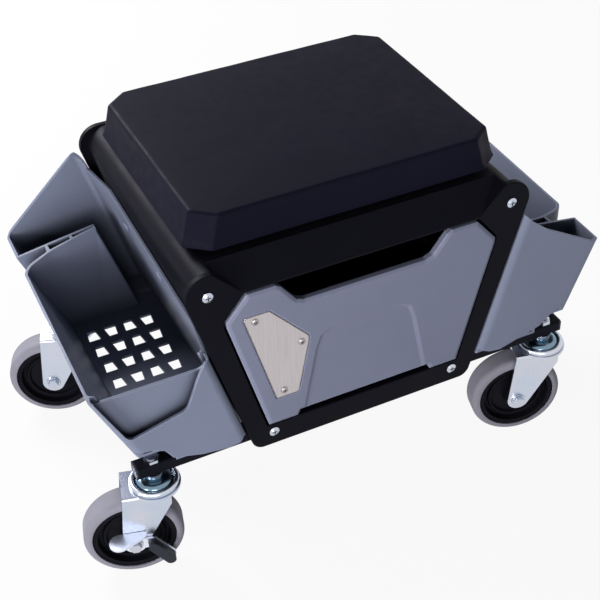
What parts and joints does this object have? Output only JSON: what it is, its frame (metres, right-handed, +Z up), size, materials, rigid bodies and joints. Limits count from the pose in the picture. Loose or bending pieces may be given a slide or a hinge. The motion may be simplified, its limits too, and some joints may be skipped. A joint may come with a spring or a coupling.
{
  "type": "mechanics creeper seat",
  "caption": "Low rolling mechanic's seat: padded top, tapered box body with a pull-out drawer, tool trays on both sides, swivel casters with foot brakes.",
  "frame": {"origin": "on the floor, midway between the four caster stems", "axes": "+Z up, +Y to the back, the drawer opens towards -Y, +X to the right seen from the drawer side"},
  "size_m": [0.5766, 0.3336, 0.389],
  "materials": {
    "black_plastic": "satin, fine grain",
    "black_steel": "satin powder coat",
    "dark_steel": "satin powder coat",
    "grey_plastic": "satin, fine grain",
    "stainless": "brushed",
    "zinc": "bright zinc plating",
    "plywood": "raw",
    "seat_cover": "matte grained vinyl",
    "tyre": "matte",
    "black_hub": "semi gloss",
    "bush_steel": "turned"
  },
  "bodies": {
    "body": {"front_panel": "black_plastic", "rear_panel": "black_plastic", "body_wrap": "black_steel", "base_plate": "black_steel", "front_cross_tube": "black_steel", "rear_cross_tube": "black_steel", "tube_plugs": "black_plastic", "left_runner": "dark_steel", "right_runner": "dark_steel", "tie_rods": "dark_steel", "seat_board": "plywood", "seat_pad": "seat_cover", "left_tray": "grey_plastic", "right_tray": "grey_plastic", "caster_stems": "zinc", "stem_nuts": "zinc", "panel_screws": "zinc", "tray_screws": "zinc", "base_bolts": "zinc", "seat_bolts": "zinc"},
    "drawer": {"drawer_front": "grey_plastic", "drawer_box": "dark_steel", "trim_plate": "stainless", "trim_screws": "zinc", "drawer_screws": "zinc"},
    "swivel_front_left": {"fork_front_left": "zinc", "axle_front_left": "zinc"},
    "wheel_front_left": {"tyre_front_left": "tyre", "hub_front_left": "black_hub", "bush_front_left": "bush_steel"},
    "brake_front_left": {"brake_lever_front_left": "zinc", "brake_cover_front_left": "black_hub"},
    "swivel_front_right": {"fork_front_right": "zinc", "axle_front_right": "zinc"},
    "wheel_front_right": {"tyre_front_right": "tyre", "hub_front_right": "black_hub", "bush_front_right": "bush_steel"},
    "swivel_rear_left": {"fork_rear_left": "zinc", "axle_rear_left": "zinc"},
    "wheel_rear_left": {"tyre_rear_left": "tyre", "hub_rear_left": "black_hub", "bush_rear_left": "bush_steel"},
    "swivel_rear_right": {"fork_rear_right": "zinc", "axle_rear_right": "zinc"},
    "wheel_rear_right": {"tyre_rear_right": "tyre", "hub_rear_right": "black_hub", "bush_rear_right": "bush_steel"},
    "brake_rear_right": {"brake_lever_rear_right": "zinc", "brake_cover_rear_right": "black_hub"}
  },
  "joints": [
    {"name": "drawer_slide", "type": "slide", "parent": "body", "child": "drawer", "axis": [0, -1, 0], "range_m": [0, 0.2]},
    {"name": "swivel_front_left_turn", "type": "hinge", "parent": "body", "child": "swivel_front_left", "pos_m": [-0.2237, -0.1307, 0.1115], "axis": [0, 0, 1], "continuous": true},
    {"name": "wheel_front_left_spin", "type": "hinge", "parent": "swivel_front_left", "child": "wheel_front_left", "pos_m": [-0.24931, -0.12389, 0.05], "axis": [-0.2571, -0.9664, 0], "continuous": true},
    {"name": "brake_front_left_press", "type": "hinge", "parent": "swivel_front_left", "child": "brake_front_left", "pos_m": [-0.24931, -0.12389, 0.05], "axis": [-0.2571, -0.9664, 0], "range_deg": [0, 20]},
    {"name": "swivel_front_right_turn", "type": "hinge", "parent": "body", "child": "swivel_front_right", "pos_m": [0.2237, -0.1307, 0.1115], "axis": [0, 0, 1], "continuous": true},
    {"name": "wheel_front_right_spin", "type": "hinge", "parent": "swivel_front_right", "child": "wheel_front_right", "pos_m": [0.19806, -0.12402, 0.05], "axis": [-0.2521, -0.9677, 0], "continuous": true},
    {"name": "swivel_rear_left_turn", "type": "hinge", "parent": "body", "child": "swivel_rear_left", "pos_m": [-0.2237, 0.1307, 0.1115], "axis": [0, 0, 1], "continuous": true},
    {"name": "wheel_rear_left_spin", "type": "hinge", "parent": "swivel_rear_left", "child": "wheel_rear_left", "pos_m": [-0.2483, 0.14054, 0.05], "axis": [-0.3714, -0.9285, 0], "continuous": true},
    {"name": "swivel_rear_right_turn", "type": "hinge", "parent": "body", "child": "swivel_rear_right", "pos_m": [0.2237, 0.1307, 0.1115], "axis": [0, 0, 1], "continuous": true},
    {"name": "wheel_rear_right_spin", "type": "hinge", "parent": "swivel_rear_right", "child": "wheel_rear_right", "pos_m": [0.1988, 0.13976, 0.05], "axis": [-0.342, -0.9397, 0], "continuous": true},
    {"name": "brake_rear_right_press", "type": "hinge", "parent": "swivel_rear_right", "child": "brake_rear_right", "pos_m": [0.1988, 0.13976, 0.05], "axis": [-0.342, -0.9397, 0], "range_deg": [0, 20]}
  ]
}
